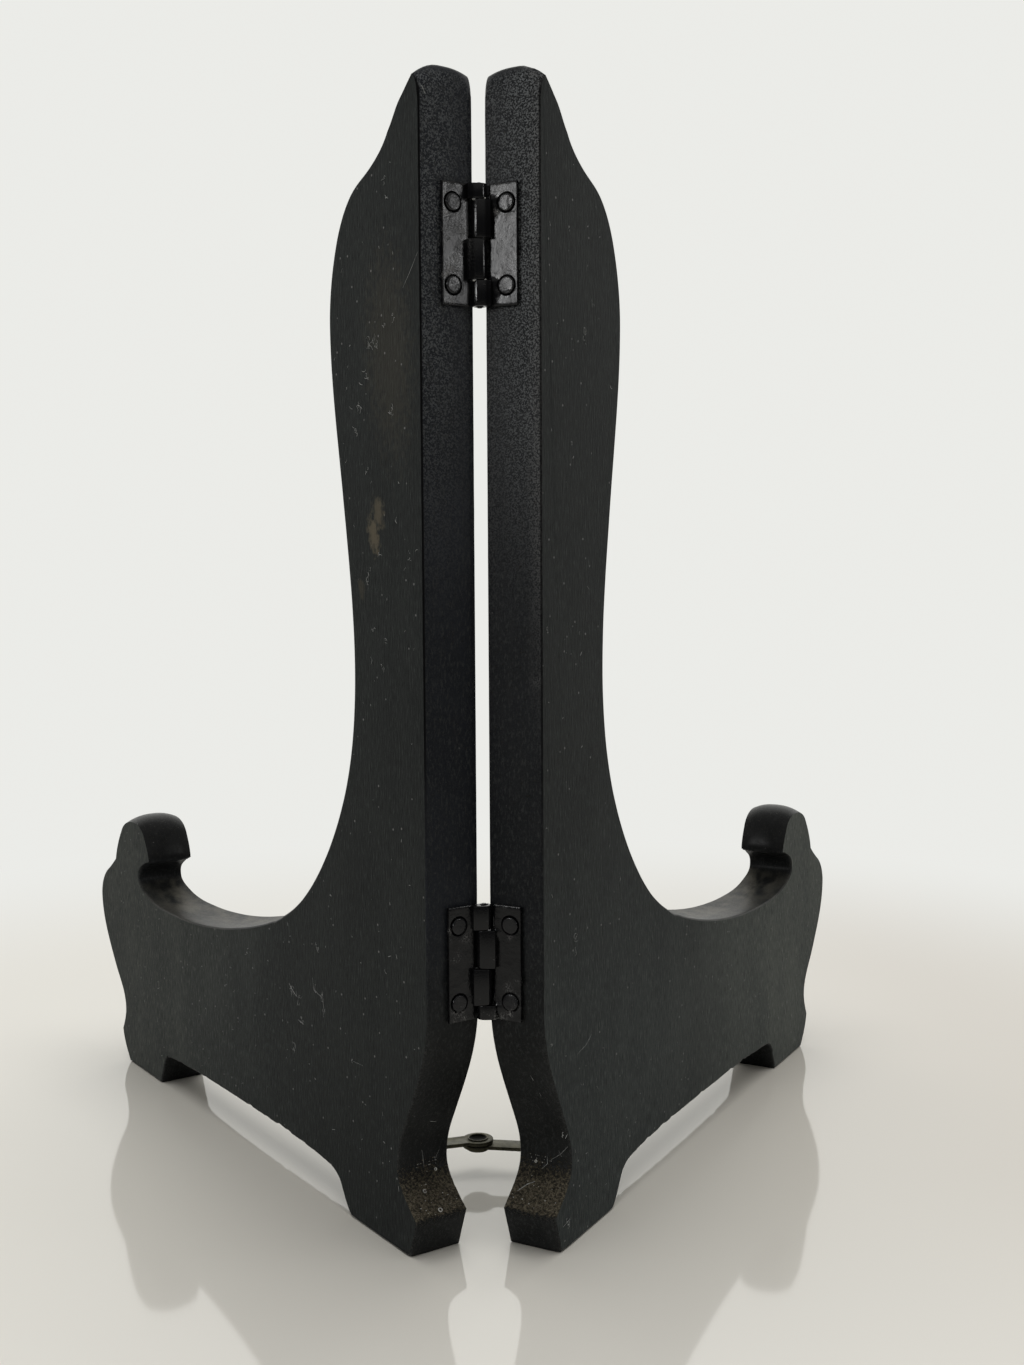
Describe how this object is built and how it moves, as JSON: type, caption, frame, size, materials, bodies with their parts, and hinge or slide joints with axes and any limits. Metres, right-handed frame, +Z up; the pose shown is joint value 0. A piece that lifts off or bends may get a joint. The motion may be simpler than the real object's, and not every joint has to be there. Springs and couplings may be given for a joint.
{
  "type": "folding display stand",
  "caption": "Folding stand that holds a photo album or plate upright: two hooked boards hinged in a V, with a folding metal stay under the arches.",
  "frame": {"origin": "centre of the base rectangle, on the ground", "axes": "+Z up, parallel to the hinge axis; +Y from the hinged spine towards the hooks that hold the album; +X to the right of a viewer who stands behind the spine"},
  "size_m": [0.2274, 0.1707, 0.2533],
  "materials": {
    "painted_wood": "matte black paint over fine-grained wood",
    "black_steel": "glossy black enamel, slightly worn",
    "aged_brass": "dull, darkened by age"
  },
  "bodies": {
    "left_board": {"left_panel": "painted_wood", "lower_hinge_left_leaf": "black_steel", "lower_hinge_left_nail_bottom": "black_steel", "lower_hinge_left_nail_top": "black_steel", "lower_hinge_pin": "black_steel", "stay_left_screw": "aged_brass", "upper_hinge_left_leaf": "black_steel", "upper_hinge_left_nail_bottom": "black_steel", "upper_hinge_left_nail_top": "black_steel", "upper_hinge_pin": "black_steel"},
    "right_board": {"lower_hinge_right_leaf": "black_steel", "lower_hinge_right_nail_bottom": "black_steel", "lower_hinge_right_nail_top": "black_steel", "right_panel": "painted_wood", "stay_right_screw": "aged_brass", "upper_hinge_right_leaf": "black_steel", "upper_hinge_right_nail_bottom": "black_steel", "upper_hinge_right_nail_top": "black_steel"},
    "left_link": {"stay_left_link": "aged_brass", "stay_rivet": "aged_brass"},
    "right_link": {"stay_right_link": "aged_brass", "stay_rivet_washer": "aged_brass"}
  },
  "joints": [
    {"name": "panel_fold", "type": "hinge", "parent": "left_board", "child": "right_board", "pos_m": [0, -0.0802, 0.1417], "axis": [0, 0, 1], "range_deg": [0, 63.4]},
    {"name": "stay_left_pivot", "type": "hinge", "parent": "left_board", "child": "left_link", "pos_m": [-0.033, -0.03952, 0.00825], "axis": [0, 0, 1], "range_deg": [0, 107.3]},
    {"name": "stay_right_pivot", "type": "hinge", "parent": "right_board", "child": "right_link", "pos_m": [0.03379, -0.03825, 0.00825], "axis": [0, 0, 1], "range_deg": [-88.8, 0]}
  ],
  "couplings": [
    {"joint": "stay_left_pivot", "follows": "panel_fold", "ratio": 1.691},
    {"joint": "stay_right_pivot", "follows": "panel_fold", "ratio": -1.3984}
  ]
}
